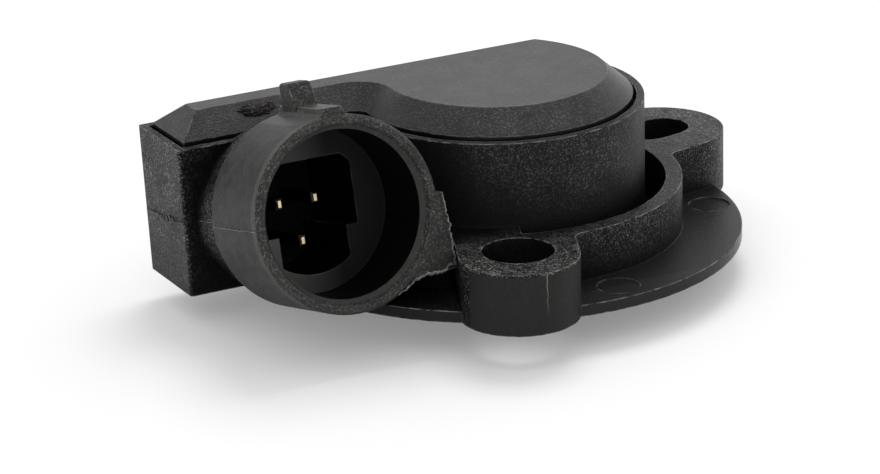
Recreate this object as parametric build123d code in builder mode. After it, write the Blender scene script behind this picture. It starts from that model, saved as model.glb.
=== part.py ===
from build123d import *
import os
from math import cos, hypot, radians, sin, sqrt, tan

# Throttle position sensor: a moulded housing with a tilted round connector, a glued cover, and a
# sprung rotor that carries a wiper round under a resistor element.
# The origin is on the rotor's axis, in the plane of the mounting face. +Z points up through the
# cover, the connector's arm runs towards -X, and the connector opens towards -Y, tilted up.
# Lengths are in millimetres and angles in degrees.

os.makedirs("parts", exist_ok=True)

# Housing body, seen from above: a round can with an arm towards -X and one flat back
can_radius = 17.1
back_flat = 12.5
arm_reach = 39.2
arm_front = 1.56
arm_draft = 2.5
arm_bottom = -0.5
arm_corner_radius = 0.4
body_height = 16.9

# Mounting flange: a thin disc, a ring wall round the can and two ears
flange_radius = 28.25
flange_thickness = 1.33
ring_inner_radius = 19.5
ring_wall = 1.9
ring_height = 7.1
moat_end_angle = -110.5
ear_hole_centre = 24.7
ear_root_radius = 1.6
near_ear_angle = -113.4
near_ear_width = 13.5
near_ear_round_centre = 25.8
near_hole_radius = 4.05
far_ear_angle = 11.6
far_ear_width = 15.6
far_ear_round_centre = 25.2
far_slot_width = 6.2
far_slot_length = 8.8
mark_radius = 2.4
mark_depth = 0.15
mark_places = ((25.3, -16.9), (24.8, -86.1))

# Pilot spigot under the flange, with an O-ring groove and a cored underside
pilot_radius = 14.0
pilot_depth = 4.0
pilot_wall = 2.2
groove_top = 0.9
groove_width = 2.0
groove_depth = 1.3
core_roof = 0.5
relief_margin = 0.35
relief_depth = 0.4

# Round connector shroud on the arm's front face
connector_x = -27.8
connector_height = 8.4
connector_tilt = 14.0
shroud_radius = 10.95
shroud_reach = 19.6
collar_radius = 9.4
collar_length = 7.4
seal_bore_radius = 9.3
seal_bore_depth = 10.0
lead_in_width = 0.7
lead_in_depth = 1.3
lip_bevel = 0.35
barrel_bevel = 0.35
key_radius = 7.2
key_half_width = 5.6
key_top = 5.6
key_step = -2.45
key_tongue_half_width = 4.15
key_floor = -2.0
wing_top = 0.4
wing_top_reach = 11.65
wing_reach = 12.15
wing_drop = 8.2
wing_length = 8.0
latch_width = 2.7
latch_start = 9.3
latch_length = 2.2
latch_ramp = 1.2
latch_top = 14.4
latch_round = 0.35
rib_start = 8.2
rib_top = 11.8
rib_top_width = 2.2
rib_foot_width = 3.6
rib_foot = 10.2

# Cover and the pocket that it is glued into
rim_wall = 0.9
cover_gap = 0.4
cover_skirt = 0.8
ledge_height = 15.3
sealant_thickness = 0.3
cover_edge_height = 17.3
cover_top = 19.85
cover_slope_width = 2.9
inner_corner_radius = 0.1
thrust_boss_radius = 2.4

# Rotor, its bearing sleeve and its well
bearing_radius = 4.55
bearing_clearance = 0.05
sleeve_radius = 7.0
sleeve_top = 6.2
sleeve_foot_radius = 8.6
well_radius = 10.3
well_floor = 2.2
rotor_end = -3.4
rotor_flange_radius = 9.6
rotor_flange_thickness = 1.6
rotor_hub_radius = 5.4
rotor_hub_height = 0.9
rotor_pivot_radius = 2.2
pivot_height = 1.1
socket_radius = 3.2
socket_flat = 2.5
socket_depth = 8.4
axial_play = 0.2
running_gap = 0.05
washer_thickness = 0.4
washer_bore_clearance = 0.3
stop_lug_reach = 11.9
stop_lug_half_angle = 7.0
stop_lug_angle = -137.5
stop_recess_radius = 12.5
stop_slack = 0.6
rotor_travel = 95.0

# Lip seal at the sleeve's lower end and O-ring round the pilot
seal_seat_radius = 6.6
seal_seat_depth = 1.8
seal_squeeze_gap = 0.02
seal_height = 1.5
seal_lip_depth = 0.8
seal_lip_wall = 0.5
o_ring_section = 1.9
o_ring_sides = 10
o_ring_stretch = 0.05

# Return spring
spring_wire = 0.8
spring_wire_sides = 6
spring_radius = 7.95
spring_turns = 2.25
spring_pitch = 1.37
spring_leg_hole = 0.55
spring_lower_leg = 1.1
spring_upper_leg = 2.4
spring_start_angle = 150.0
spring_floor_gap = 0.05

# Resistor element board, its recess, and the pit for the terminals' inner ends
board_seat = 11.5
board_thickness = 0.8
board_gap = 0.25
recess_inset = 2.1
channel_overhang = 6.8
channel_front = 6.4
pit_margin = 1.7
pit_floor = 1.6
board_hole_radius = 3.1
tail_front = 8.3

# Terminals and bond straps
blade_thickness = 0.8
blade_width = 1.2
blade_tip = 6.7
blade_tip_chamfer = 0.22
blade_slot_clearance = 0.02
upper_pin_spread = 4.4
upper_pin_height = 0.87
lower_pin_height = -3.62
riser_gap = 0.1
strap_width = 1.2
strap_thickness = 0.25
strap_arch = 0.5
strap_end_gap = 0.3

# Wiper on the rotor's flange
wiper_thickness = 0.25
wiper_angle = 60.0
wiper_half_angle = 30.0
wiper_inner_radius = 6.0
wiper_outer_radius = 9.3
finger_width = 0.6
finger_radii = (6.4, 7.2, 8.1, 8.9)
finger_length = 4.2
finger_contact_gap = 0.1
stake_radius = 0.7
stake_clearance = 0.03
stake_height = 0.7
stake_radius_from_axis = 7.7
stake_half_angle = 22.0

# Derived places
match_tolerance = 1e-4
ring_outer_radius = ring_inner_radius + ring_wall
cover_inset = rim_wall + cover_gap
cover_foot = ledge_height + sealant_thickness
washer_top = sleeve_top + washer_thickness
flange_bottom = washer_top + running_gap
flange_top = flange_bottom + rotor_flange_thickness
board_top = board_seat + board_thickness
rotor_top = board_top + pivot_height
journal_radius = bearing_radius - bearing_clearance
o_ring_centre = pilot_radius - groove_depth + o_ring_section / 2 + o_ring_stretch
relief_radius = o_ring_centre + o_ring_section / 2 + relief_margin
spring_base = well_floor + spring_floor_gap + spring_wire / 2
spring_rise = spring_turns * spring_pitch
spring_end_angle = spring_start_angle + 360 * spring_turns
channel_back = back_flat - recess_inset
channel_end = -connector_x + channel_overhang
pit_width = upper_pin_spread + blade_thickness + 2 * pit_margin
drop = sin(radians(connector_tilt))
run = cos(radians(connector_tilt))
connector_plane = Plane(
    origin=(connector_x, arm_front, connector_height),
    x_dir=(1, 0, 0),
    z_dir=(0, -run, drop),
)


def polar(distance, angle):
    """Point at a distance and angle from the rotor's axis."""
    return (distance * cos(radians(angle)), distance * sin(radians(angle)))


def body_outline(inset, height):
    """Keyhole outline of can and arm, drawn a wall's width inside the housing."""
    front = arm_front + inset
    radius = can_radius - inset
    with BuildSketch(Plane.XY.offset(height)) as outline:
        Circle(radius)
        with Locations((-arm_reach + inset, front)):
            Rectangle(arm_reach - inset, back_flat - inset - front, align=(Align.MIN, Align.MIN))
        with Locations((0, back_flat - inset)):
            Rectangle(4 * radius, radius, align=(Align.CENTER, Align.MIN), mode=Mode.SUBTRACT)
        inner_corner = (-sqrt(radius**2 - front**2), front, height)
        fillet(outline.vertices().sort_by_distance(inner_corner)[0], inset + inner_corner_radius)
    return outline.sketch


def sector(radius, start, end, height):
    """Slice of a disc between two angles."""
    with BuildSketch(Plane.XY.offset(height)) as slice_:
        with BuildLine():
            Line((0, 0), polar(radius, start))
            CenterArc((0, 0), radius, start, end - start)
            Line(polar(radius, end), (0, 0))
        make_face()
    return slice_.sketch


def ears():
    """Both ears from above, from the rotor's axis out to their round ends."""
    with BuildSketch() as outline:
        for angle, width, round_centre in (
            (near_ear_angle, near_ear_width, near_ear_round_centre),
            (far_ear_angle, far_ear_width, far_ear_round_centre),
        ):
            with PolarLocations(0, 1, start_angle=angle):
                Rectangle(round_centre, width, align=(Align.MIN, Align.CENTER))
            with PolarLocations(round_centre, 1, start_angle=angle):
                Circle(width / 2)
    return outline.sketch


def reflex_corners(sketch, radius):
    """Corners of an outline that lie on a circle round the axis."""
    return sketch.vertices().filter_by(lambda v: abs(hypot(v.X, v.Y) - radius) < match_tolerance)


# Connector shroud: collar, smooth barrel, side wing and the plug's latch, cut off at the arm's face
with BuildPart() as shroud:
    with BuildSketch(connector_plane.offset(-arm_front - collar_length)):
        Circle(collar_radius)
    extrude(amount=arm_front + 2 * collar_length)
    with BuildSketch(connector_plane.offset(collar_length)):
        Circle(shroud_radius)
    extrude(amount=shroud_reach - collar_length)
    with BuildSketch(connector_plane.offset(shroud_reach - wing_length)):
        with BuildLine():
            Polyline(
                (0, wing_top),
                (wing_top_reach, wing_top),
                (wing_reach, -wing_drop),
                (0, -wing_drop),
                close=True,
            )
        make_face()
    extrude(amount=wing_length)
    along_connector = Axis(connector_plane.origin, connector_plane.z_dir)
    rim = shroud.faces().sort_by(along_connector)[-1]
    chamfer(rim.edges().filter_by(GeomType.CIRCLE), lip_bevel)
    step = shroud.edges().filter_by(GeomType.CIRCLE).filter_by(lambda e: e.radius > collar_radius)
    chamfer(step.sort_by(along_connector)[0], barrel_bevel)
    with BuildSketch(connector_plane.offset(rib_start)):
        with BuildLine():
            Polyline(
                (-rib_foot_width / 2, rib_foot),
                (rib_foot_width / 2, rib_foot),
                (rib_top_width / 2, rib_top),
                (-rib_top_width / 2, rib_top),
                close=True,
            )
        make_face()
    extrude(amount=shroud_reach - rib_start - lip_bevel)
    latch_side = Plane(
        origin=connector_plane.from_local_coords((latch_width / 2, 0, 0)),
        x_dir=connector_plane.z_dir,
        z_dir=(-1, 0, 0),
    )
    with BuildSketch(latch_side):
        with BuildLine():
            Polyline(
                (latch_start, rib_foot),
                (latch_start, latch_top),
                (latch_start + latch_length, latch_top),
                (latch_start + latch_length + latch_ramp, rib_top),
                (latch_start + latch_length + latch_ramp, rib_foot),
                close=True,
            )
        make_face()
    extrude(amount=latch_width)
    latch_crest = shroud.faces().sort_by(Axis(connector_plane.origin, connector_plane.y_dir))[-1]
    fillet(latch_crest.edges(), latch_round)
    split(bisect_by=Plane.XZ.offset(-(arm_front + rim_wall)), keep=Keep.TOP)

# Housing moulding
with BuildPart() as housing:
    # Flange disc, with the ears' feet blended into its rim
    with BuildSketch():
        Circle(flange_radius)
        add(ears())
    extrude(amount=flange_thickness)

    # Ring wall and ears
    with BuildSketch() as wall:
        Circle(ring_outer_radius)
        add(ears())
        Circle(ring_inner_radius, mode=Mode.SUBTRACT)
        fillet(reflex_corners(wall, ring_outer_radius), ear_root_radius)
    extrude(amount=ring_height)

    # The moat stops at a radial wall. From there to the arm the ring is solid in to the can
    with BuildSketch():
        Circle(ring_outer_radius)
        with BuildLine():
            Polyline(
                (0, 0),
                polar(2 * flange_radius, moat_end_angle),
                (-2 * flange_radius, -2 * flange_radius),
                (-2 * flange_radius, arm_front + ring_wall),
                close=True,
            )
        make_face(mode=Mode.INTERSECT)
    extrude(amount=ring_height)

    # Can with its flat back
    with BuildSketch() as can:
        Circle(can_radius)
        with Locations((0, back_flat)):
            Rectangle(2 * can_radius, can_radius, align=(Align.CENTER, Align.MIN), mode=Mode.SUBTRACT)
    extrude(amount=body_height)

    # Arm, whose end leans in towards the mounting side
    for height in (arm_bottom, body_height):
        end = -arm_reach + (body_height - height) * tan(radians(arm_draft))
        with BuildSketch(Plane.XY.offset(height)) as arm_section:
            with Locations((end, arm_front)):
                Rectangle(-end, back_flat - arm_front, align=(Align.MIN, Align.MIN))
            fillet(arm_section.vertices().group_by(Axis.X)[0], arm_corner_radius)
    loft()

    add(shroud.part)

    # The mounting face is clear across the flange, and the pilot stands below it
    with BuildSketch():
        Circle(flange_radius)
    extrude(amount=-pilot_depth, mode=Mode.SUBTRACT)
    with BuildSketch():
        Circle(pilot_radius)
    extrude(amount=-pilot_depth)

    # Relief in the mounting face round the pilot, wide enough for the O-ring to pass
    with BuildSketch():
        Circle(relief_radius)
        Circle(pilot_radius, mode=Mode.SUBTRACT)
    extrude(amount=relief_depth, mode=Mode.SUBTRACT)

    # Connector socket: seal bore, then a keyed cavity down to the blades' floor
    with BuildSketch(connector_plane.offset(shroud_reach)):
        Circle(seal_bore_radius)
    extrude(amount=-seal_bore_depth, mode=Mode.SUBTRACT)
    with BuildSketch(connector_plane.offset(shroud_reach)):
        Circle(seal_bore_radius + lead_in_width)
    with BuildSketch(connector_plane.offset(shroud_reach - lead_in_depth)):
        Circle(seal_bore_radius)
    loft(mode=Mode.SUBTRACT)
    shoulder = shroud_reach - seal_bore_depth
    with BuildSketch(connector_plane.offset(shoulder)):
        with Locations((0, key_step)):
            Rectangle(2 * key_half_width, key_top - key_step, align=(Align.CENTER, Align.MIN))
            Rectangle(2 * key_tongue_half_width, 2 * key_radius, align=(Align.CENTER, Align.MAX))
        Circle(key_radius, mode=Mode.INTERSECT)
    extrude(amount=key_floor - shoulder, mode=Mode.SUBTRACT)

    # Pocket for the cover, recess for the element board, and the terminals' pit
    extrude(
        to_extrude=body_outline(rim_wall, ledge_height),
        amount=body_height - ledge_height,
        mode=Mode.SUBTRACT,
    )
    with BuildSketch(Plane.XY.offset(board_seat)):
        Circle(can_radius - recess_inset)
        with Locations((0, channel_back)):
            Rectangle(2 * can_radius, can_radius, align=(Align.CENTER, Align.MIN), mode=Mode.SUBTRACT)
        with Locations((-channel_end, channel_front)):
            Rectangle(channel_end, channel_back - channel_front, align=(Align.MIN, Align.MIN))
    extrude(amount=ledge_height - board_seat, mode=Mode.SUBTRACT)
    with BuildSketch(Plane.XY.offset(pit_floor)):
        with Locations((connector_x, channel_front)):
            Rectangle(pit_width, channel_back - channel_front, align=(Align.CENTER, Align.MIN))
    extrude(amount=board_seat - pit_floor, mode=Mode.SUBTRACT)

    # Rotor well round the bearing sleeve, with a recess whose ends stop the rotor's lug
    with BuildSketch(Plane.XY.offset(well_floor)):
        Circle(well_radius)
        Circle(sleeve_radius, mode=Mode.SUBTRACT)
    extrude(amount=board_seat - well_floor, mode=Mode.SUBTRACT)
    with BuildSketch(Plane.XY.offset(sleeve_top)):
        Circle(well_radius)
    extrude(amount=board_seat - sleeve_top, mode=Mode.SUBTRACT)
    recess_start = stop_lug_angle - stop_lug_half_angle - stop_slack
    recess_end = stop_lug_angle + rotor_travel + stop_lug_half_angle + stop_slack
    extrude(
        to_extrude=sector(stop_recess_radius, recess_start, recess_end, sleeve_top),
        amount=board_seat - sleeve_top,
        mode=Mode.SUBTRACT,
    )
    with BuildSketch(Plane.XY.offset(sleeve_top)):
        Circle(bearing_radius)
    extrude(amount=-sleeve_top - pilot_depth, mode=Mode.SUBTRACT)
    with BuildSketch(Plane.XY.offset(-pilot_depth)):
        Circle(seal_seat_radius)
    extrude(amount=seal_seat_depth, mode=Mode.SUBTRACT)
    with BuildSketch(Plane.XY.offset(well_floor)):
        with Locations(polar(spring_radius, spring_start_angle)):
            Circle(spring_leg_hole)
    extrude(amount=-spring_lower_leg, mode=Mode.SUBTRACT)

    # Cored underside and O-ring groove of the pilot
    with BuildSketch(Plane.XY.offset(-pilot_depth)):
        Circle(pilot_radius - pilot_wall)
        Circle(sleeve_foot_radius, mode=Mode.SUBTRACT)
    extrude(amount=pilot_depth + core_roof, mode=Mode.SUBTRACT)
    with BuildSketch(Plane.XY.offset(-groove_top)):
        Circle(pilot_radius)
        Circle(pilot_radius - groove_depth, mode=Mode.SUBTRACT)
    extrude(amount=-groove_width, mode=Mode.SUBTRACT)

    # Slots that the terminal blades are moulded into
    with BuildSketch(connector_plane.offset(key_floor)):
        with Locations(
            (-upper_pin_spread / 2, upper_pin_height),
            (upper_pin_spread / 2, upper_pin_height),
            (0, lower_pin_height),
        ):
            Rectangle(blade_thickness + 2 * blade_slot_clearance, blade_width + 2 * blade_slot_clearance)
    extrude(amount=arm_front - channel_front, mode=Mode.SUBTRACT)

    # Screw holes in the ears, and round tool marks on the flange
    with Locations((*polar(ear_hole_centre, near_ear_angle), ring_height)):
        Hole(near_hole_radius, depth=ring_height)
    with BuildSketch(Plane.XY.offset(ring_height)):
        with PolarLocations(ear_hole_centre, 1, start_angle=far_ear_angle):
            SlotCenterToCenter(far_slot_length - far_slot_width, far_slot_width)
    extrude(amount=-ring_height, mode=Mode.SUBTRACT)
    with BuildSketch(Plane.XY.offset(flange_thickness)):
        with Locations([polar(*place) for place in mark_places]):
            Circle(mark_radius)
    extrude(amount=-mark_depth, mode=Mode.SUBTRACT)
housing.part.label = "housing"
export_step(housing.part, "parts/housing.step")

# Cover: a keyhole lid with a sloped border, a skirt and a boss that stops the rotor's lift
with BuildPart() as cover:
    extrude(to_extrude=body_outline(cover_inset, cover_foot), amount=cover_top - cover_foot)
    top_face = cover.faces().sort_by(Axis.Z)[-1]
    chamfer(
        top_face.edges(),
        length=cover_slope_width,
        length2=cover_top - cover_edge_height,
        reference=top_face,
    )
    extrude(
        to_extrude=body_outline(cover_inset + cover_skirt, cover_foot),
        amount=cover_edge_height - cover_foot,
        mode=Mode.SUBTRACT,
    )
    with BuildSketch(Plane.XY.offset(rotor_top + axial_play)):
        Circle(thrust_boss_radius)
    extrude(amount=cover_edge_height - rotor_top - axial_play)
cover.part.label = "cover"
export_step(cover.part, "parts/cover.step")

# Sealant bead under the cover's skirt
with BuildPart() as cover_sealant:
    extrude(to_extrude=body_outline(cover_inset, ledge_height), amount=sealant_thickness)
    extrude(
        to_extrude=body_outline(cover_inset + cover_skirt, ledge_height),
        amount=sealant_thickness,
        mode=Mode.SUBTRACT,
    )
cover_sealant.part.label = "cover_sealant"
export_step(cover_sealant.part, "parts/cover_sealant.step")

# Rotor: journal with a D-shaped drive socket, flange with a stop lug and stakes, top pivot
with BuildPart() as rotor:
    with BuildSketch(Plane.XZ):
        with BuildLine():
            Polyline(
                (0, rotor_end),
                (journal_radius, rotor_end),
                (journal_radius, flange_bottom),
                (rotor_flange_radius, flange_bottom),
                (rotor_flange_radius, flange_top),
                (rotor_hub_radius, flange_top),
                (rotor_hub_radius, flange_top + rotor_hub_height),
                (rotor_pivot_radius, flange_top + rotor_hub_height),
                (rotor_pivot_radius, rotor_top),
                (0, rotor_top),
                close=True,
            )
        make_face()
    revolve(axis=Axis.Z)
    extrude(
        to_extrude=sector(
            stop_lug_reach,
            stop_lug_angle - stop_lug_half_angle,
            stop_lug_angle + stop_lug_half_angle,
            flange_bottom,
        ),
        amount=rotor_flange_thickness,
    )
    with BuildSketch(Plane.XY.offset(flange_top)):
        for side in (-1, 1):
            with Locations(polar(stake_radius_from_axis, wiper_angle + side * stake_half_angle)):
                Circle(stake_radius)
    extrude(amount=stake_height)
    with BuildSketch(Plane.XY.offset(rotor_end)):
        Circle(socket_radius)
        with Locations((socket_flat, 0)):
            Rectangle(socket_radius, 2 * socket_radius, align=(Align.MIN, Align.CENTER), mode=Mode.SUBTRACT)
    extrude(amount=socket_depth, mode=Mode.SUBTRACT)
    with Locations((*polar(spring_radius, spring_end_angle), flange_top)):
        Hole(spring_leg_hole, depth=rotor_flange_thickness)
rotor.part.label = "rotor"
export_step(rotor.part, "parts/rotor.step")

# Thrust washer on the sleeve's end
with BuildPart() as thrust_washer:
    with BuildSketch(Plane.XY.offset(sleeve_top)):
        Circle(sleeve_radius)
        Circle(journal_radius + washer_bore_clearance, mode=Mode.SUBTRACT)
    extrude(amount=washer_thickness)
thrust_washer.part.label = "thrust_washer"
export_step(thrust_washer.part, "parts/thrust_washer.step")

# Return spring: a torsion coil with a leg in the well's floor and a leg in the rotor's flange
with BuildPart() as return_spring:
    with BuildLine() as coil:
        Helix(
            pitch=spring_pitch,
            height=spring_rise,
            radius=spring_radius,
            center=(0, 0, spring_base),
        )
    with BuildSketch(coil.line ^ 0):
        RegularPolygon(spring_wire / 2, spring_wire_sides)
    sweep(is_frenet=True)
    spring_start = (spring_radius, 0, spring_base)
    with BuildSketch(Plane(spring_start)):
        RegularPolygon(spring_wire / 2, spring_wire_sides)
    extrude(amount=-spring_lower_leg - spring_floor_gap)
    spring_end = (*polar(spring_radius, 360 * spring_turns), spring_base + spring_rise)
    with BuildSketch(Plane(spring_end)):
        RegularPolygon(spring_wire / 2, spring_wire_sides)
    extrude(amount=spring_upper_leg)
return_spring_part = return_spring.part.rotate(Axis.Z, spring_start_angle)
return_spring_part.label = "return_spring"
export_step(return_spring_part, "parts/return_spring.step")

# Wiper: a staked sector of sheet with fingers that rise to the element's tracks
with BuildPart() as wiper:
    extrude(
        to_extrude=sector(
            wiper_outer_radius, wiper_angle - wiper_half_angle, wiper_angle + wiper_half_angle, flange_top
        ),
        amount=wiper_thickness,
    )
    with BuildSketch(Plane.XY.offset(flange_top)):
        Circle(wiper_inner_radius)
        for side in (-1, 1):
            with Locations(polar(stake_radius_from_axis, wiper_angle + side * stake_half_angle)):
                Circle(stake_radius + stake_clearance)
    extrude(amount=wiper_thickness, mode=Mode.SUBTRACT)
    finger_root_angle = wiper_angle - wiper_half_angle
    finger_rise = board_seat - finger_contact_gap - flange_top - wiper_thickness
    outwards = Vector(*polar(1, finger_root_angle))
    along = Vector(*polar(1, finger_root_angle - 90))
    for radius in finger_radii:
        root = Plane(
            origin=outwards * (radius + finger_width / 2) + Vector(0, 0, flange_top),
            x_dir=along,
            z_dir=outwards * -1,
        )
        with BuildSketch(root):
            with BuildLine():
                Polyline(
                    (-2 * wiper_thickness, 0),
                    (0, 0),
                    (finger_length, finger_rise),
                    (finger_length, finger_rise + wiper_thickness),
                    (0, wiper_thickness),
                    (-2 * wiper_thickness, wiper_thickness),
                    close=True,
                )
            make_face()
        extrude(amount=finger_width)
wiper.part.label = "wiper"
export_step(wiper.part, "parts/wiper.step")

# Element board: substrate with a tail along the arm's channel
with BuildPart() as element_board:
    with BuildSketch(Plane.XY.offset(board_seat)):
        Circle(can_radius - recess_inset - board_gap)
        with Locations((0, channel_back - board_gap)):
            Rectangle(2 * can_radius, can_radius, align=(Align.CENTER, Align.MIN), mode=Mode.SUBTRACT)
        with Locations((-channel_end + board_gap, tail_front)):
            Rectangle(
                channel_end - board_gap, channel_back - board_gap - tail_front, align=(Align.MIN, Align.MIN)
            )
        Circle(board_hole_radius, mode=Mode.SUBTRACT)
    extrude(amount=board_thickness)
element_board.part.label = "element_board"
export_step(element_board.part, "parts/element_board.step")

# Terminals and straps: each blade runs in from the socket, then rises to the board's level
riser_front = channel_front + riser_gap
riser_back = riser_front + blade_width
for name, across, height in (
    ("supply", -upper_pin_spread / 2, upper_pin_height),
    ("signal", 0, lower_pin_height),
    ("ground", upper_pin_spread / 2, upper_pin_height),
):
    side = Plane(origin=(connector_x + across - blade_thickness / 2, 0, 0), x_dir=(0, 1, 0), z_dir=(1, 0, 0))
    lower_edge = height - blade_width / 2
    upper_edge = height + blade_width / 2
    centre = Vector(arm_front, connector_height)
    out = Vector(-run, drop)
    up = Vector(drop, run)
    tip_low = centre + out * blade_tip + up * lower_edge
    tip_high = centre + out * blade_tip + up * upper_edge
    low_at_back = tip_low.Y - (riser_back - tip_low.X) * drop / run
    high_at_front = tip_high.Y - (riser_front - tip_high.X) * drop / run
    with BuildPart() as terminal:
        with BuildSketch(side):
            with BuildLine():
                Polyline(
                    (tip_low.X, tip_low.Y),
                    (riser_back, low_at_back),
                    (riser_back, board_top),
                    (riser_front, board_top),
                    (riser_front, high_at_front),
                    (tip_high.X, tip_high.Y),
                    close=True,
                )
            make_face()
        extrude(amount=blade_thickness)
        tip = terminal.faces().sort_by(Axis(connector_plane.origin, connector_plane.z_dir))[-1]
        chamfer(tip.edges(), blade_tip_chamfer)
    terminal.part.label = "terminal_" + name
    export_step(terminal.part, "parts/terminal_" + name + ".step")

    strap_side = Plane(
        origin=(connector_x + across - strap_width / 2, 0, 0), x_dir=(0, 1, 0), z_dir=(1, 0, 0)
    )
    strap_end = channel_back - board_gap - strap_end_gap
    arch_middle = (riser_back + tail_front) / 2
    with BuildPart() as strap:
        with BuildSketch(strap_side):
            with BuildLine():
                lower = ThreePointArc(
                    (riser_back - strap_arch / 2, board_top),
                    (arch_middle, board_top + strap_arch),
                    (tail_front + strap_arch, board_top),
                )
                upper = ThreePointArc(
                    (riser_back - strap_arch / 2 - strap_thickness, board_top + strap_thickness),
                    (arch_middle, board_top + strap_arch + strap_thickness),
                    (tail_front + strap_arch + strap_thickness, board_top + strap_thickness),
                )
                Polyline(
                    lower @ 0,
                    (riser_front, board_top),
                    (riser_front, board_top + strap_thickness),
                    upper @ 0,
                )
                Polyline(
                    lower @ 1,
                    (strap_end, board_top),
                    (strap_end, board_top + strap_thickness),
                    upper @ 1,
                )
            make_face()
        extrude(amount=strap_width)
    strap.part.label = "strap_" + name
    export_step(strap.part, "parts/strap_" + name + ".step")

# Lip seal round the rotor's journal: a ring with a groove that leaves two lips
with BuildPart() as rotor_seal:
    seal_inner = journal_radius + seal_squeeze_gap
    seal_outer = seal_seat_radius - seal_squeeze_gap
    seal_top = seal_seat_depth - pilot_depth
    seal_bottom = seal_top - seal_height
    with BuildSketch(Plane.XZ):
        with BuildLine():
            Polyline(
                (seal_inner, seal_top),
                (seal_outer, seal_top),
                (seal_outer, seal_bottom),
                (seal_outer - seal_lip_wall, seal_bottom),
                ((seal_inner + seal_outer) / 2, seal_bottom + seal_lip_depth),
                (seal_inner + seal_lip_wall, seal_bottom),
                (seal_inner, seal_bottom),
                close=True,
            )
        make_face()
    revolve(axis=Axis.Z)
rotor_seal.part.label = "rotor_seal"
export_step(rotor_seal.part, "parts/rotor_seal.step")

# O-ring in the pilot's groove
with BuildPart() as mounting_seal:
    with BuildSketch(Plane.XZ):
        with Locations((o_ring_centre, -groove_top - groove_width / 2)):
            RegularPolygon(o_ring_section / 2, o_ring_sides)
    revolve(axis=Axis.Z)
mounting_seal.part.label = "mounting_seal"
export_step(mounting_seal.part, "parts/mounting_seal.step")
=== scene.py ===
from math import atan2, cos, pi, radians, sin, tan

import bmesh
import bpy
from mathutils import Matrix, Vector, noise


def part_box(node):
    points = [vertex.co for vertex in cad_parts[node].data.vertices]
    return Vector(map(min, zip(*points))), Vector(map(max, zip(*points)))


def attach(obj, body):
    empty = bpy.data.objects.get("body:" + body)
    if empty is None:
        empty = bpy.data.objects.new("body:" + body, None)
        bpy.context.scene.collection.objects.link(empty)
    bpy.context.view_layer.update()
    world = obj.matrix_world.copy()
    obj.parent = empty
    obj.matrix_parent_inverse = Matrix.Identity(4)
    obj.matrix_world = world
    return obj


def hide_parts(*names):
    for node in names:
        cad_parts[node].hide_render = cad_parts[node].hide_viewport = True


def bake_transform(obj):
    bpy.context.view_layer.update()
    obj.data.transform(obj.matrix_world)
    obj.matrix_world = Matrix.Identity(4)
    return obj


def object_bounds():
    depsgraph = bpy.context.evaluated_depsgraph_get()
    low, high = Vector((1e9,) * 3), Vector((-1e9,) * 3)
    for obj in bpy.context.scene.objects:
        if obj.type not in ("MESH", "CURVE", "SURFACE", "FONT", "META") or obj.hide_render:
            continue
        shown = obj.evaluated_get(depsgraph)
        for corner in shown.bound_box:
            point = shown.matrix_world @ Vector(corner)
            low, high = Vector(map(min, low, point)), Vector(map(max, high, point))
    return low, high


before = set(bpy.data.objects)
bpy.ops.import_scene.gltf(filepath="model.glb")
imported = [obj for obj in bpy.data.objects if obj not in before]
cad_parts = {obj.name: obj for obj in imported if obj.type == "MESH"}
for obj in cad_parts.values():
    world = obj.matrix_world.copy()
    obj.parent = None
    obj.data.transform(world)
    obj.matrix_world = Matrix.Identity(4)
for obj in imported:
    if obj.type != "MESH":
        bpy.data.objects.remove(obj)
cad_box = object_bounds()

# Housing: one moulding of black glass-filled nylon, with the can, the arm, the round plug socket and the
# flange. The tool's spark-eroded faces leave it grainy, its polished cores leave the socket's barrel and
# the flange's disc smoother, and every edge is rubbed a little paler.
MM = 0.001

# Its grain, clouds, chipped edges and rounding. Spark grain is about a twentieth of a millimetre, too fine
# to show in the render, so it is drawn about five times as wide, and deeper too.
grain_mm = 0.24
grain_depth_mm = 0.17
blotch_mm = 3.5
chip_mm = 1.4
edge_round_mm = 0.22
hollow_mm = 0.5
# How far out the painted shade in recesses feels for nearby surfaces
painted_shade_reach_mm = 13.0
polished_grain = 0.45
polished_gloss = -0.2
gloss_low = 0.08
gloss_high = 0.12

# Places on the plug socket, in its own axes
connector_origin = Vector((-27.8, 1.56, 8.4)) * MM
connector_tilt = radians(14.0)
connector_turn = pi / 2 - connector_tilt
core_foot_mm = 0.3
core_reach_mm = 9.0
shoulder_mm = 9.5
# Across the socket: the shoulder's painted light is palest at the first and its painted shade darkest at the
# second
painted_lit_side_mm = -6.0
painted_shade_side_mm = 3.0
bore_start_mm = 9.7
bore_end_mm = 18.2
bore_reach_mm = 9.6
barrel_start_mm = 7.3
barrel_end_mm = 19.0
barrel_reach_mm = 11.3
rib_foot_mm = 10.3
rim_front_mm = 20.0
wing_reach_mm = 15.5

# Places on the flange, the can and the near ear
seat_mm = 0.2
pilot_radius_mm = 14.2
disc_height_mm = 1.4
disc_radius_mm = 29.0
ring_radius_mm = 21.3
can_radius_mm = 17.6
ear_front_mm = -24.5
ear_height_mm = 6.8
ear_centre_mm = -10.25
ear_radius_mm = 6.75
ear_seam = radians(-92.5)
seam_mm = 0.06
seam_front_mm = -30.2
seam_low_mm = 2.0
seam_high_mm = 7.1
seam_wave_mm = 1.5
seam_drift_mm = 0.3


def srgb(code):
    """Linear colour of an sRGB hex value."""
    parts = [int(code[place:place + 2], 16) / 255 for place in (1, 3, 5)]
    return [p / 12.92 if p <= 0.04045 else ((p + 0.055) / 1.055) ** 2.4 for p in parts] + [1.0]


def add(tree, kind, inputs=None, **settings):
    """Adds a shader node, sets its properties, and fills or links its inputs."""
    made = tree.nodes.new("ShaderNode" + kind)
    for name, value in settings.items():
        setattr(made, name, value)
    for socket, value in (inputs or {}).items():
        if isinstance(value, bpy.types.NodeSocket):
            tree.links.new(value, made.inputs[socket])
        else:
            made.inputs[socket].default_value = value
    return made


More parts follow.
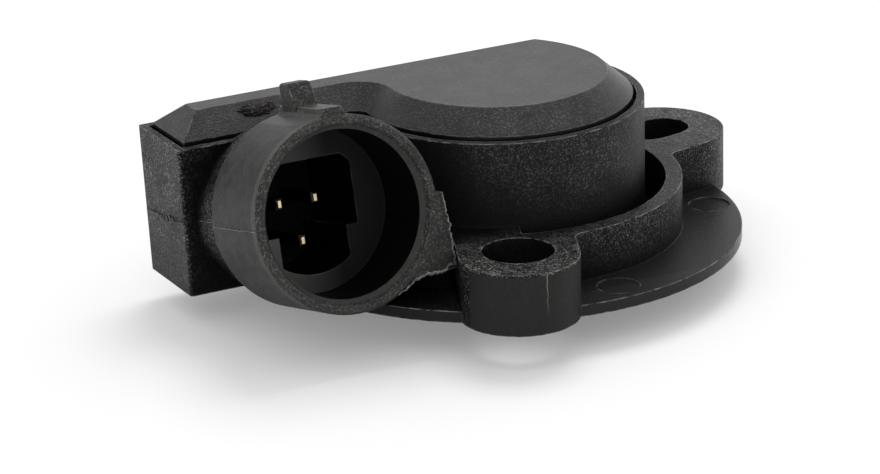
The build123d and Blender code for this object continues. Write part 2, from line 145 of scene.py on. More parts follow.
def new_material(name):
    """An empty node material, its tree and its shader."""
    material = bpy.data.materials.new(name)
    material.use_nodes = True
    tree = material.node_tree
    return material, tree, tree.nodes["Principled BSDF"]


def per_mm(size):
    """Texture scale at which one cell is this many millimetres wide."""
    return 1 / (size * MM)


def dress(node, material):
    """Puts a finish on a node of the frame."""
    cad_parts[node].data.materials[0] = material


def moulded_plastic(name, deep, pale, worn, grain, roughness, ior, smooth_areas=None, marks=None):
    """Moulded plastic: two tones in fine grain and soft clouds, painted shade in recesses, rounded edges that
    are rubbed paler.

    smooth_areas takes the tree, the coordinates and the chips' pattern, and gives masks of the polished
    faces. marks takes the tree and the coordinates, and gives the pale line where the tool's inserts met.
    """
    material, tree, shader = new_material(name)
    place = add(tree, "TexCoord").outputs["Object"]
    patterns = []
    for size, detail, lacing in ((grain_mm, 2.0, 0.7), (blotch_mm, 5.0, 0.65), (chip_mm, 3.0, 0.7)):
        settings = {"Vector": place, "Scale": per_mm(size), "Detail": detail, "Roughness": lacing}
        patterns.append(add(tree, "TexNoise", settings).outputs[0])
    fine, blotch, chips = patterns
    amount = grain
    if smooth_areas:
        polish, even, sharp, mirror = smooth_areas(tree, place, chips)
        left_over = {"Value": polish, "To Min": grain, "To Max": grain * polished_grain}
        amount = add(tree, "MapRange", left_over).outputs[0]

    # Rounded edges, and the wear on those that stand proud
    rounded = add(tree, "Bevel", {"Radius": edge_round_mm * MM}, samples=6).outputs[0]
    flat = add(tree, "NewGeometry").outputs["Normal"]
    lean = add(tree, "VectorMath", {0: rounded, 1: flat}, operation="DOT_PRODUCT").outputs["Value"]
    edge = add(tree, "MapRange", {"Value": lean, "From Min": 0.99, "From Max": 0.86}).outputs[0]
    hollow = add(tree, "AmbientOcclusion", {"Distance": hollow_mm * MM}, samples=6).outputs["AO"]
    proud = add(tree, "MapRange", {"Value": hollow, "From Min": 0.75, "From Max": 0.95}).outputs[0]
    rubbed = add(tree, "MapRange", {"Value": chips, "From Min": 0.4, "From Max": 0.62}).outputs[0]
    wear = add(tree, "Math", {0: edge, 1: proud}, operation="MULTIPLY").outputs[0]
    wear = add(tree, "Math", {0: wear, 1: rubbed}, operation="MULTIPLY").outputs[0]
    if smooth_areas:
        wear = add(tree, "Math", {0: wear, 1: sharp}, operation="MULTIPLY").outputs[0]
    if marks:
        wear = add(tree, "Math", {0: wear, 1: marks(tree, place)}, operation="MAXIMUM").outputs[0]

    # Colour: grain and clouds mix the two tones, painted shade darkens them in recesses and between parts,
    # and worn edges go on top
    tone = add(tree, "MapRange", {"Value": fine, "From Min": 0.5, "From Max": 0.7}).outputs[0]
    patch = {"Value": blotch, "From Min": 0.38, "From Max": 0.6, "To Min": 0.6}
    patch = add(tree, "MapRange", patch).outputs[0]
    tone = add(tree, "Math", {0: tone, 1: patch}, operation="MULTIPLY").outputs[0]
    tone = add(tree, "Math", {0: tone, 1: amount}, operation="MULTIPLY").outputs[0]
    cloud = {"Value": blotch, "From Min": 0.4, "From Max": 0.8, "To Max": 0.1}
    cloud = add(tree, "MapRange", cloud).outputs[0]
    tone = add(tree, "Math", {0: tone, 1: cloud}, operation="ADD", use_clamp=True).outputs[0]
    # Painted shade: the tone is darkened where nearby surfaces hem a face in
    shelter = add(tree, "AmbientOcclusion", {"Distance": painted_shade_reach_mm * MM}, samples=8).outputs["AO"]
    painted_recess_shade = add(tree, "MapRange", {"Value": shelter, "From Min": 0.52, "From Max": 0.96}).outputs[0]
    tone = add(tree, "Math", {0: tone, 1: painted_recess_shade}, operation="MULTIPLY").outputs[0]
    if smooth_areas:
        tone = add(tree, "Mix", {"Factor": polish, "A": tone, "B": even}).outputs["Result"]
    skin = {"Factor": tone, "A": srgb(deep), "B": srgb(pale)}
    skin = add(tree, "Mix", skin, data_type="RGBA").outputs["Result"]
    colour = {"Factor": wear, "A": skin, "B": srgb(worn)}
    colour = add(tree, "Mix", colour, data_type="RGBA").outputs["Result"]
    tree.links.new(colour, shader.inputs["Base Color"])

    # Gloss and relief break up with the grain
    gloss = {"Value": fine, "To Min": roughness - gloss_low, "To Max": roughness + gloss_high}
    gloss = add(tree, "MapRange", gloss).outputs[0]
    if smooth_areas:
        gloss = {0: mirror, 1: polished_gloss, 2: gloss}
        gloss = add(tree, "Math", gloss, operation="MULTIPLY_ADD").outputs[0]
    tree.links.new(gloss, shader.inputs["Roughness"])
    relief = add(tree, "Math", {0: fine, 1: amount}, operation="MULTIPLY").outputs[0]
    bump = {"Strength": 1.0, "Distance": grain_depth_mm * MM, "Height": relief, "Normal": rounded}
    tree.links.new(add(tree, "Bump", bump).outputs[0], shader.inputs["Normal"])
    shader.inputs["IOR"].default_value = ior
    return material


def socket_axes(tree, place):
    """Coordinates in the plug socket's own axes: across it, up it, and out along its barrel."""
    turned = add(
        tree,
        "Mapping",
        {"Vector": place, "Location": connector_origin, "Rotation": (connector_turn, 0, 0)},
        vector_type="TEXTURE",
    ).outputs[0]
    return add(tree, "SeparateXYZ", {0: turned}).outputs


def polished_cores(tree, place, mottle):
    """Masks of the faces off smoother steel: how smooth, in which tone, how sharp-edged, how glossy.

    Smooth are the socket's barrel, bore, shoulder and cavity, the flange's disc and seat and the near
    ear's front, and half smooth are the rim, the latch and the can. The bore and cavity are painted black
    as shade, the shoulder carries painted light towards the arm's end and painted shade towards the can,
    and the barrel's own edges are too round to wear.
    """
    across, up, out = socket_axes(tree, place)
    section = add(tree, "CombineXYZ", {0: across, 1: up}).outputs[0]
    reach = add(tree, "VectorMath", {0: section}, operation="LENGTH").outputs["Value"]
    x, y, height = add(tree, "SeparateXYZ", {0: place}).outputs
    plan = add(tree, "CombineXYZ", {0: x, 1: y}).outputs[0]
    radius = add(tree, "VectorMath", {0: plan}, operation="LENGTH").outputs["Value"]
    more, less = "GREATER_THAN", "LESS_THAN"
    areas = {
        "socket": ((out, more, barrel_start_mm), (reach, less, barrel_reach_mm)),
        "barrel": ((out, more, barrel_start_mm), (out, less, barrel_end_mm), (reach, less, barrel_reach_mm)),
        "bore": ((out, more, bore_start_mm), (out, less, bore_end_mm), (reach, less, bore_reach_mm)),
        "core": ((out, more, core_foot_mm), (out, less, shoulder_mm), (reach, less, core_reach_mm)),
        "shoulder": ((out, more, shoulder_mm), (out, less, bore_start_mm), (reach, less, bore_reach_mm)),
        "rim": (
            (out, more, bore_end_mm), (out, less, rim_front_mm),
            (up, more, -barrel_reach_mm), (reach, less, wing_reach_mm),
        ),
        "latch": ((up, more, rib_foot_mm), (out, more, barrel_start_mm), (reach, less, wing_reach_mm)),
        "disc": (
            (height, less, disc_height_mm),
            (radius, more, ring_radius_mm), (radius, less, disc_radius_mm),
        ),
        "seat": ((height, less, seat_mm), (radius, more, pilot_radius_mm), (radius, less, disc_radius_mm)),
        "ear": ((height, less, ear_height_mm), (y, less, ear_front_mm)),
        "can": ((height, more, disc_height_mm), (radius, less, can_radius_mm)),
    }
    mask = {}
    for area, limits in areas.items():
        for value, test, limit in limits:
            inside = add(tree, "Math", {0: value, 1: limit * MM}, operation=test).outputs[0]
            if area in mask:
                inside = add(tree, "Math", {0: mask[area], 1: inside}, operation="MULTIPLY").outputs[0]
            mask[area] = inside

    # How smooth each area is, from 0, grainy, to 1
    smoothness = {
        "barrel": 0.85, "bore": 1.0, "core": 1.0, "shoulder": 1.0, "rim": 0.4, "latch": 0.4,
        "disc": 1.0, "seat": 1.0, "ear": 0.9, "can": 0.45,
    }
    polish = 0.0
    for area, share in smoothness.items():
        smooth = add(tree, "Math", {0: mask[area], 1: share}, operation="MULTIPLY").outputs[0]
        polish = add(tree, "Math", {0: polish, 1: smooth}, operation="MAXIMUM").outputs[0]

    # The smooth areas' tone, from 0, the deep colour, to 1, the pale one
    even = {"Value": mottle, "From Min": 0.35, "From Max": 0.7, "To Min": 0.06, "To Max": 0.17}
    even = add(tree, "MapRange", even).outputs[0]
    # The bore and cavity get the deep colour: painted shade in the socket's depths
    plain_tones_and_painted_shade = {"disc": 0.05, "seat": 0.05, "ear": 0.07, "can": 0.05, "bore": 0.0, "core": 0.0}
    for area, tone in plain_tones_and_painted_shade.items():
        even = add(tree, "Mix", {"Factor": mask[area], "A": even, "B": tone}).outputs["Result"]
    # Painted light and shade on the shoulder: pale towards the arm's end, dark towards the can
    shoulder_painted_light_and_shade = {
        "Value": across, "From Min": painted_lit_side_mm * MM, "From Max": painted_shade_side_mm * MM,
        "To Min": 0.5, "To Max": 0.04,
    }
    shoulder_painted_light_and_shade = add(tree, "MapRange", shoulder_painted_light_and_shade).outputs[0]
    even = add(tree, "Mix", {"Factor": mask["shoulder"], "A": even, "B": shoulder_painted_light_and_shade}).outputs["Result"]
    half = add(tree, "Math", {0: mask["rim"], 1: mask["latch"]}, operation="MAXIMUM").outputs[0]
    half = add(tree, "Math", {0: half, 1: smoothness["rim"]}, operation="MULTIPLY").outputs[0]
    even = add(tree, "Mix", {"Factor": half, "A": even, "B": 0.45}).outputs["Result"]
    sharp = add(tree, "MapRange", {"Value": mask["socket"], "To Min": 1.0, "To Max": 0.25}).outputs[0]
    return polish, even, sharp, mask["disc"]


def insert_seam(tree, place):
    """Mask of the upright line on the near ear's front, where two inserts of the tool met."""
    drift = add(tree, "TexNoise", {"Vector": place, "Scale": per_mm(seam_wave_mm), "Detail": 3.0}).outputs[0]
    drift = {"Value": drift, "To Min": -seam_drift_mm * MM, "To Max": seam_drift_mm * MM}
    drift = add(tree, "MapRange", drift).outputs[0]
    x, y, height = add(tree, "SeparateXYZ", {0: place}).outputs
    across = add(tree, "Math", {0: x, 1: drift}, operation="ADD").outputs[0]
    middle = (ear_centre_mm + cos(ear_seam) * ear_radius_mm) * MM
    line = add(tree, "Math", {0: across, 1: middle, 2: seam_mm * MM}, operation="COMPARE").outputs[0]
    front = add(tree, "Math", {0: y, 1: seam_front_mm * MM}, operation="LESS_THAN").outputs[0]
    line = add(tree, "Math", {0: line, 1: front}, operation="MULTIPLY").outputs[0]
    fade = {"Value": height, "From Min": seam_low_mm * MM, "From Max": seam_high_mm * MM, "To Max": 0.5}
    fade = add(tree, "MapRange", fade).outputs[0]
    return add(tree, "Math", {0: line, 1: fade}, operation="MULTIPLY").outputs[0]


# Glass-filled nylon off a spark-eroded tool looks grey-black and dry. The grain scatters most of its shine
# away, so its IOR is matched well under solid nylon's.
housing_plastic = moulded_plastic(
    "glass_filled_nylon_moulded", "#090909", "#888886", "#a3a29f", grain=1.0, roughness=0.36, ior=1.17,
    smooth_areas=polished_cores, marks=insert_seam,
)
dress("housing", housing_plastic)

# Flash on the housing: thin torn fins of the same nylon where the tool's halves met, along the parting
# line over the arm's end, the collar and the barrel, and along the wing of the socket's rim.
arm_draft = radians(2.5)
arm_reach_mm = 39.2
arm_height_mm = 16.9
arm_line = ((12.0, 6.88), (8.7, 7.2), (7.3, 7.05), (5.4, 7.32), (3.1, 7.95), (1.9, 8.3))
arm_tears = (0.25, 0.45, 0.7, 0.8, 0.5)
arm_fin_height = 0.3 * MM
arm_teeth = (
    (8.6, 7.1, 0.35), (7.7, 7.0, 0.45), (6.9, 7.05, 0.6),
    (6.1, 7.1, 0.75), (5.2, 7.3, 0.8), (4.4, 7.5, 0.6),
)
tooth_lean = 0.55
tooth_foot = 0.16 * MM
tooth_height = 0.4 * MM
tooth_seed = 40
collar_radius_mm = 9.4
collar_line_mm = (0.4, 7.3)
collar_seed = 11
barrel_radius_mm = 10.95
barrel_line_mm = (7.8, 19.2)
barrel_seed = 12
line_foot = 0.14 * MM
line_height = 0.16 * MM
rim_mm = 19.6
wing_line = ((11.5, 0.35), (11.75, -3.0), (12.05, -7.9), (8.3, -8.1), (6.9, -8.5), (5.6, -9.3), (4.6, -9.8))
wing_feet = (0.34, 0.34, 0.55, 0.5, 0.3, 0.2)
wing_fin_height = 0.4 * MM
wing_seed = 20
crest_share = 0.25
tear_step = 0.22 * MM
fewest_cuts = 3
wobble_mm = 0.5
wobble_row = 7.3
tear_mm = 0.24
tear_row = 3.1
tear_layer = 4.0
tear_gain = 1.6
connector_frame = Matrix.Translation(connector_origin) @ Matrix.Rotation(connector_turn, 4, "X")


def torn_fin(bm, start, end, outwards, foot, height, raggedness, seed):
    """Adds a fin of flash to a mesh: a wedge from start to end whose crest is torn by noise."""
    along = end - start
    length = along.length
    side = along.cross(outwards).normalized()
    up = side.cross(along).normalized()
    fin = bmesh.new()
    bmesh.ops.create_cube(fin, size=1.0)
    bmesh.ops.scale(fin, verts=fin.verts, vec=(length, foot, height))
    bmesh.ops.translate(fin, verts=fin.verts, vec=(length / 2, 0, 0))
    bmesh.ops.scale(fin, verts=[v for v in fin.verts if v.co.z > 0], vec=(1, crest_share, 1))
    long_edges = [edge for edge in fin.edges if edge.calc_length() > length / 2]
    bmesh.ops.subdivide_edges(fin, edges=long_edges, cuts=max(fewest_cuts, int(length / tear_step)))
    for v in fin.verts:
        wobble = noise.noise(Vector((v.co.x * per_mm(wobble_mm), seed * wobble_row, 0.0)))
        tear = noise.noise(Vector((v.co.x * per_mm(tear_mm), seed * tear_row, tear_layer)))
        v.co.y += wobble * foot * raggedness
        if v.co.z > 0:
            v.co.z *= 1 + raggedness * tear * tear_gain
    turn = Matrix((along.normalized(), side, up)).transposed().to_4x4()
    bmesh.ops.transform(fin, matrix=Matrix.Translation(start) @ turn, verts=fin.verts)
    shape = bpy.data.meshes.new("fin")
    fin.to_mesh(shape)
    fin.free()
    bm.from_mesh(shape)
    bpy.data.meshes.remove(shape)


def finish_piece(name, bm, material):
    """Makes a named object of a mesh, with its finish."""
    bmesh.ops.recalc_face_normals(bm, faces=bm.faces)
    mesh = bpy.data.meshes.new(name)
    bm.to_mesh(mesh)
    bm.free()
    piece = bpy.data.objects.new(name, mesh)
    bpy.context.scene.collection.objects.link(piece)
    mesh.materials.append(material)
    return piece


def on_arm_end(y, z):
    """Point on the arm's leaning end face, from millimetres."""
    return Vector((-arm_reach_mm + (arm_height_mm - z) * tan(arm_draft), y, z)) * MM


def on_connector(across, up, out):
    """Point in the plug socket's own axes, from millimetres."""
    return connector_frame @ (Vector((across, up, out)) * MM)


# Torn nylon has lost its smooth skin, so it looks whiter and duller than the housing
flash_nylon = moulded_plastic(
    "torn_nylon", "#4c4b4a", "#b4b3b0", "#c8c7c4", grain=1.0, roughness=0.55, ior=1.4,
)
left = Vector((-1, 0, 0))
bm = bmesh.new()
for number, tear in enumerate(arm_tears):
    torn_fin(bm, on_arm_end(*arm_line[number]), on_arm_end(*arm_line[number + 1]), left,
             foot=line_foot, height=arm_fin_height, raggedness=tear, seed=number)
for number, (y, z, rise) in enumerate(arm_teeth):
    torn_fin(bm, on_arm_end(y, z), on_arm_end(y + tooth_lean * rise, z + rise), left,
             foot=tooth_foot, height=tooth_height, raggedness=0.4, seed=tooth_seed + number)
for radius_mm, (low, high), tear, seed in (
    (collar_radius_mm, collar_line_mm, 0.8, collar_seed),
    (barrel_radius_mm, barrel_line_mm, 0.9, barrel_seed),
):
    torn_fin(bm, on_connector(-radius_mm, 0, low), on_connector(-radius_mm, 0, high), left,
             foot=line_foot, height=line_height, raggedness=tear, seed=seed)
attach(finish_piece("parting_flash", bm, flash_nylon), "base")

rim_out = connector_frame.to_3x3() @ Vector((0, 0, 1))
bm = bmesh.new()
for number, foot in enumerate(wing_feet):
    start = on_connector(*wing_line[number], rim_mm)
    end = on_connector(*wing_line[number + 1], rim_mm)
    torn_fin(bm, start, end, rim_out,
             foot=foot * MM, height=wing_fin_height, raggedness=0.9, seed=wing_seed + number)
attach(finish_piece("wing_flash", bm, flash_nylon), "base")

# Terminals and their bond straps: blades stamped from brass strip, tinned thinly so that the brass shows
# warm through it, moulded into the socket's floor and welded to thin straps on the element board. Their
# cut ends are bright, and behind them the blades are painted near-black as shade in the socket's cavity.

# Real draw lines are hundredths of a millimetre wide, too fine to show, so they are drawn wider
strip_mm = 0.12
draw_depth_mm = 0.01
tip_start_mm = 6.45


def two_tone(name, cell_mm, detail, dark, light, spread, stretch=(1.0, 1.0, 1.0)):
    """Starts a material whose noise cells mix two tones: its tree, shader, pattern and tint."""
    material, tree, shader = new_material(name)
    place = add(tree, "TexCoord").outputs["Object"]
    place = add(tree, "Mapping", {"Vector": place, "Scale": stretch}).outputs[0]
    cells = {"Vector": place, "Scale": per_mm(cell_mm), "Detail": detail}
    pattern = add(tree, "TexNoise", cells).outputs[0]
    tone = {"Value": pattern, "From Min": spread[0], "From Max": spread[1]}
    tone = add(tree, "MapRange", tone).outputs[0]
    tint = {"Factor": tone, "A": srgb(dark), "B": srgb(light)}
    tint = add(tree, "Mix", tint, data_type="RGBA").outputs["Result"]
    return material, tree, shader, pattern, tint


terminal_brass, tree, shader, draw_lines, bright = two_tone(
    "tinned_brass_stamped", strip_mm, 2.0, "#e2c49a", "#f3e2c6", (0.35, 0.65), stretch=(1.0, 0.15, 1.0),
)
out = socket_axes(tree, add(tree, "TexCoord").outputs["Object"])[2]
cut_end = add(tree, "Math", {0: out, 1: tip_start_mm * MM}, operation="GREATER_THAN").outputs[0]
# Behind the cut ends the blades are painted near-black: painted shade of the socket's cavity
colour = add(tree, "Mix", {"Factor": cut_end, "A": srgb("#0e0b08"), "B": bright}, data_type="RGBA")
tree.links.new(colour.outputs["Result"], shader.inputs["Base Color"])
rough = add(tree, "MapRange", {"Value": draw_lines, "To Min": 0.22, "To Max": 0.4})
tree.links.new(rough.outputs[0], shader.inputs["Roughness"])
bump = add(tree, "Bump", {"Strength": 0.3, "Distance": draw_depth_mm * MM, "Height": draw_lines})
tree.links.new(bump.outputs[0], shader.inputs["Normal"])
shader.inputs["Metallic"].default_value = 1.0
for circuit in ("supply", "signal", "ground"):
    dress("terminal_" + circuit, terminal_brass)
    dress("strap_" + circuit, terminal_brass)

# Rotor: a moulding of natural acetal, waxy off-white and finer than the housing, with the drive socket
# moulded in. It runs in the housing's sleeve.
rotor_acetal = moulded_plastic(
    "acetal_moulded", "#b5b1a6", "#c9c6bb", "#d6d3c9", grain=0.4, roughness=0.38, ior=1.48,
)
dress("rotor", rotor_acetal)

# Lip seal and O-ring: compression-moulded nitrile rubber, matt black with a faint bloom. The lip seal is
# pressed into the sleeve's end, and the O-ring is stretched into the pilot's groove.
bloom_mm = 1.6
o_ring_sides = 20
o_ring_steps = 96
weld_distance = 1e-7
rubber, tree, shader, bloom, tint = two_tone(
    "nitrile_rubber_moulded", bloom_mm, 5.0, "#131313", "#2b2a29", (0.4, 0.75),
)
tree.links.new(tint, shader.inputs["Base Color"])
rough = add(tree, "MapRange", {"Value": bloom, "To Min": 0.5, "To Max": 0.72})
tree.links.new(rough.outputs[0], shader.inputs["Roughness"])
shader.inputs["IOR"].default_value = 1.52
dress("rotor_seal", rubber)

up_axis = Vector((0, 0, 1))
o_ring_low, o_ring_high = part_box("mounting_seal")
o_ring_section = o_ring_high.z - o_ring_low.z
o_ring_centre = Vector((o_ring_high.x - o_ring_section / 2, 0, (o_ring_low.z + o_ring_high.z) / 2))
bm = bmesh.new()
section = bmesh.ops.create_circle(bm, segments=o_ring_sides, radius=o_ring_section / 2)["verts"]
bmesh.ops.rotate(bm, verts=section, cent=(0, 0, 0), matrix=Matrix.Rotation(pi / 2, 3, "X"))
bmesh.ops.translate(bm, verts=section, vec=o_ring_centre)
bmesh.ops.spin(
    bm, geom=bm.verts[:] + bm.edges[:], cent=(0, 0, 0), axis=up_axis, angle=2 * pi, steps=o_ring_steps,
    use_merge=True,
)
bmesh.ops.remove_doubles(bm, verts=bm.verts, dist=weld_distance)
for face in bm.faces:
    face.smooth = True
o_ring = finish_piece("pilot_o_ring", bm, rubber)
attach(o_ring, "base")
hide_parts("mounting_seal")

# Return spring and thrust washer: hard-drawn spring wire wound round the sleeve, one leg in the well's
# floor and one in the rotor's flange, and a stamped washer of the same steel, grey and bright with fine
# die marks.

# The marks are drawn wider than the real ones, which are too fine to show
die_mark_mm = 0.10
wire_radius = 0.4 * MM
wire_sides = 12
coil_radius = 7.95 * MM
coil_base = 2.65 * MM
coil_rise = 3.08 * MM
coil_turn = radians(810)
coil_start = radians(150)
coil_steps = 80
leg_bend = 0.6 * MM
bend_steps = 6
lower_leg = 1.15 * MM
upper_leg = 2.4 * MM
spring_steel, tree, shader, die_marks, tint = two_tone(
    "spring_steel_drawn", die_mark_mm, 2.0, "#8f9094", "#b9babc", (0.3, 0.7),
)
tree.links.new(tint, shader.inputs["Base Color"])
rough = add(tree, "MapRange", {"Value": die_marks, "To Min": 0.24, "To Max": 0.42})
tree.links.new(rough.outputs[0], shader.inputs["Roughness"])
shader.inputs["Metallic"].default_value = 1.0
dress("return_spring", spring_steel)
dress("thrust_washer", spring_steel)


def draw_wire(bm, end, centre, axis, angle, rise, steps):
    """Draws the wire's end on round an axis, rising as it goes, and gives the new end."""
    return bmesh.ops.spin(
        bm, geom=end, cent=centre, axis=axis, angle=angle, dvec=(0, 0, rise / steps), steps=steps
    )["geom_last"]


bend_angle = 2 * atan2(leg_bend, coil_radius)
out_at_end = Vector((cos(coil_turn), sin(coil_turn), 0))
along_at_end = Vector((-sin(coil_turn), cos(coil_turn), 0))
lower_bend = Vector((coil_radius, leg_bend, coil_base - leg_bend))
upper_bend = out_at_end * coil_radius - along_at_end * leg_bend + up_axis * (coil_base + coil_rise + leg_bend)
bm = bmesh.new()
bmesh.ops.create_circle(bm, cap_ends=True, segments=wire_sides, radius=wire_radius)
bmesh.ops.translate(bm, verts=bm.verts, vec=(coil_radius, 0, coil_base - lower_leg))
end = bm.verts[:] + bm.edges[:]
end = draw_wire(bm, end, (0, 0, 0), up_axis, 0, lower_leg - leg_bend, 1)
end = draw_wire(bm, end, lower_bend, (1, 0, 0), -pi / 2, 0, bend_steps)
end = draw_wire(bm, end, (0, 0, 0), up_axis, coil_turn - bend_angle, coil_rise, coil_steps)
end = draw_wire(bm, end, upper_bend, out_at_end, pi / 2, 0, bend_steps)
end = draw_wire(bm, end, (0, 0, 0), up_axis, 0, upper_leg - leg_bend, 1)
bmesh.ops.edgeloop_fill(bm, edges=[part for part in end if isinstance(part, bmesh.types.BMEdge)])
bmesh.ops.rotate(bm, verts=bm.verts, cent=(0, 0, 0), matrix=Matrix.Rotation(coil_start, 3, "Z"))
for face in bm.faces:
    face.smooth = len(face.verts) == 4
coil = finish_piece("return_coil", bm, spring_steel)
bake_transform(coil)
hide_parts("return_spring")

# Wiper: contact fingers stamped from thin sheet of a sprung copper alloy and staked to the rotor's flange.
# Rolled bronze looks warm and bright, with fine lines along the sheet.
wiper_metal, tree, shader, roll_lines, tint = two_tone(
    "spring_bronze_stamped", strip_mm, 2.0, "#cfb183", "#e2c9a0", (0.3, 0.7), stretch=(0.2, 1.0, 1.0),
)
tree.links.new(tint, shader.inputs["Base Color"])
rough = add(tree, "MapRange", {"Value": roll_lines, "To Min": 0.2, "To Max": 0.36})
tree.links.new(rough.outputs[0], shader.inputs["Roughness"])
shader.inputs["Metallic"].default_value = 1.0
dress("wiper", wiper_metal)

# Element board: a pressed plate of dark green phenolic laminate with a faint weave, screen-printed below
# with two black carbon tracks, a little shinier, that the wiper's fingers follow.
tracks_mm = ((6.1, 7.5), (7.8, 9.2))
weave_mm = 0.5
board_laminate, tree, shader, _, laminate = two_tone(
    "laminate_with_carbon_print", weave_mm, 3.0, "#232e24", "#2e3c30", (0.3, 0.7),
)
x, y, height = add(tree, "SeparateXYZ", {0: add(tree, "TexCoord").outputs["Object"]}).outputs
plan = add(tree, "CombineXYZ", {0: x, 1: y}).outputs[0]
radius = add(tree, "VectorMath", {0: plan}, operation="LENGTH").outputs["Value"]
printed = 0.0
for inner, outer in tracks_mm:
    past = add(tree, "Math", {0: radius, 1: inner * MM}, operation="GREATER_THAN").outputs[0]
    within = add(tree, "Math", {0: radius, 1: outer * MM}, operation="LESS_THAN").outputs[0]
    track = add(tree, "Math", {0: past, 1: within}, operation="MULTIPLY").outputs[0]
    printed = add(tree, "Math", {0: printed, 1: track}, operation="MAXIMUM").outputs[0]
underside = (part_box("element_board")[0].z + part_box("element_board")[1].z) / 2
under = add(tree, "Math", {0: height, 1: underside}, operation="LESS_THAN").outputs[0]
printed = add(tree, "Math", {0: printed, 1: under}, operation="MULTIPLY").outputs[0]
colour = add(tree, "Mix", {"Factor": printed, "A": laminate, "B": srgb("#121212")}, data_type="RGBA")
tree.links.new(colour.outputs["Result"], shader.inputs["Base Color"])
rough = add(tree, "MapRange", {"Value": printed, "To Min": 0.55, "To Max": 0.35})
tree.links.new(rough.outputs[0], shader.inputs["Roughness"])
dress("element_board", board_laminate)

# Sealant: a bead of black epoxy, laid wet on the housing's ledge and pressed out by the cover's skirt. It
# sets glossy and lumpy.
lump_mm = 1.2
lump_depth_mm = 0.1
epoxy, tree, shader, lumps, tint = two_tone("epoxy_bead", lump_mm, 2.0, "#070707", "#121212", (0.3, 0.7))
tree.links.new(tint, shader.inputs["Base Color"])
bump = add(tree, "Bump", {"Strength": 0.5, "Distance": lump_depth_mm * MM, "Height": lumps})
tree.links.new(bump.outputs[0], shader.inputs["Normal"])
shader.inputs["Roughness"].default_value = 0.22
dress("cover_sealant", epoxy)

# Cover: a keyhole lid moulded in the same black nylon off a finer tool, satin on top, dropped into the
# housing's rim and glued down. The gate was broken off its front slope and left a crumbled scar.
cover_plastic = moulded_plastic(
    "nylon_moulded_satin", "#060606", "#767677", "#8c8b89", grain=0.35, roughness=0.34, ior=1.38,
)
dress("cover", cover_plastic)

# The scar is torn open to the core, so it is dark and dull, with pale crumbs
gate_centre = Vector((-27.95, 4.75, 18.98)) * MM
gate_half_length = 1.95 * MM
gate_half_width = 0.8 * MM
gate_height = 0.32 * MM
slope_run_mm = 2.9
slope_rise_mm = 2.55
slope_lean = atan2(slope_rise_mm, slope_run_mm)
crumbs = ((2.6, 0.3), (9.0, 0.28), (19.0, 0.16))
scar_nylon = moulded_plastic(
    "nylon_torn_gate", "#020202", "#85797a", "#4a4342", grain=1.0, roughness=0.6, ior=1.3,
)
bm = bmesh.new()
bmesh.ops.create_icosphere(bm, subdivisions=5, radius=1.0)
for v in bm.verts:
    v.co *= 1 + sum(noise.noise(v.co * often) * depth for often, depth in crumbs)
bmesh.ops.scale(bm, verts=bm.verts, vec=(gate_half_length, gate_half_width, gate_height))
bmesh.ops.rotate(bm, verts=bm.verts, cent=(0, 0, 0), matrix=Matrix.Rotation(slope_lean, 3, "X"))
bmesh.ops.translate(bm, verts=bm.verts, vec=gate_centre)
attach(finish_piece("gate_scar", bm, scar_nylon), "base")

# Studio: a plain white floor that the pilot stands on, a white surround, one soft lamp high behind the
# part on its right, and a long lens from the front left.
floor_size = 6.0
floor_glow = 0.22
floor_paper, tree, shader = new_material("white_paper_sweep")
shader.inputs["Base Color"].default_value = srgb("#f2f2f2")
shader.inputs["Roughness"].default_value = 1.0
shader.inputs["Specular IOR Level"].default_value = 0.0
bare = add(tree, "Emission", {"Color": srgb("#ffffff"), "Strength": 1.0}).outputs[0]
seen = add(tree, "LightPath").outputs["Is Camera Ray"]
seen = add(tree, "MapRange", {"Value": seen, "To Max": floor_glow}).outputs[0]
sweep = add(tree, "MixShader", {0: seen, 1: shader.outputs[0], 2: bare}).outputs[0]
tree.links.new(sweep, tree.nodes["Material Output"].inputs["Surface"])
bm = bmesh.new()
bmesh.ops.create_grid(bm, x_segments=1, y_segments=1, size=floor_size / 2)
bmesh.ops.translate(bm, verts=bm.verts, vec=(0, 0, cad_box[0][2]))
mesh = bpy.data.meshes.new("studio_floor")
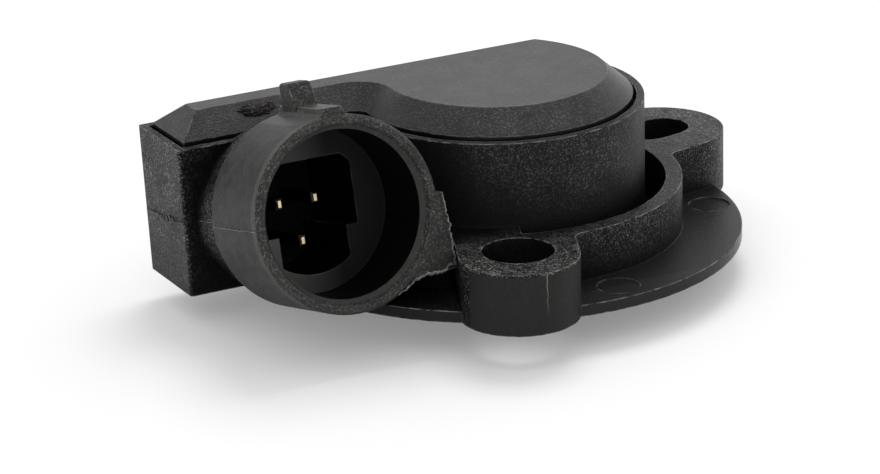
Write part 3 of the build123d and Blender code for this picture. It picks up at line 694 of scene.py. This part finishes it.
bm.to_mesh(mesh)
bm.free()
mesh.materials.append(floor_paper)
studio_floor = bpy.data.objects.new("studio_floor", mesh)
bpy.context.scene.collection.objects.link(studio_floor)

surround_strength = 0.92
world = bpy.data.worlds.new("white_surround")
bpy.context.scene.world = world
world.use_nodes = True
tree = world.node_tree
path = add(tree, "LightPath").outputs
seen = add(tree, "Math", {0: path["Is Camera Ray"], 1: path["Is Glossy Ray"]}, operation="MAXIMUM").outputs[0]
seen = add(tree, "Math", {0: seen, 1: path["Is Transmission Ray"]}, operation="MAXIMUM").outputs[0]
strength = add(tree, "MapRange", {"Value": seen, "To Min": surround_strength, "To Max": 1.0}).outputs[0]
tree.nodes["Background"].inputs["Color"].default_value = srgb("#ffffff")
tree.links.new(strength, tree.nodes["Background"].inputs["Strength"])

lamp_azimuth = radians(50)
lamp_elevation = radians(66)
lamp_distance = 0.5
lamp_data = bpy.data.lights.new("soft_lamp", "AREA")
lamp_data.shape = "DISK"
lamp_data.size = 0.26
lamp_data.energy = 0.9
lamp = bpy.data.objects.new("soft_lamp", lamp_data)
bpy.context.scene.collection.objects.link(lamp)
lamp_line = Vector((
    cos(lamp_elevation) * cos(lamp_azimuth),
    cos(lamp_elevation) * sin(lamp_azimuth),
    sin(lamp_elevation),
))
lamp.location = lamp_line * lamp_distance
lamp.rotation_euler = lamp_line.to_track_quat("Z", "Y").to_euler()

camera_place = Vector((-0.20813, -0.384756, 0.161037))
camera_right = Vector((0.8822, -0.4702, -0.0251)).normalized()
camera_back = Vector((-0.4337, -0.8321, 0.3458)).normalized()
camera_up = camera_back.cross(camera_right)
camera_data = bpy.data.cameras.new("long_lens")
camera_data.sensor_width = 36.0
camera_data.lens = 164.3
camera = bpy.data.objects.new("long_lens", camera_data)
bpy.context.scene.collection.objects.link(camera)
turned = Matrix((camera_right, camera_up, camera_back)).transposed().to_4x4()
camera.matrix_world = Matrix.Translation(camera_place) @ turned
bpy.context.scene.camera = camera
bpy.context.scene.view_settings.view_transform = "Standard"
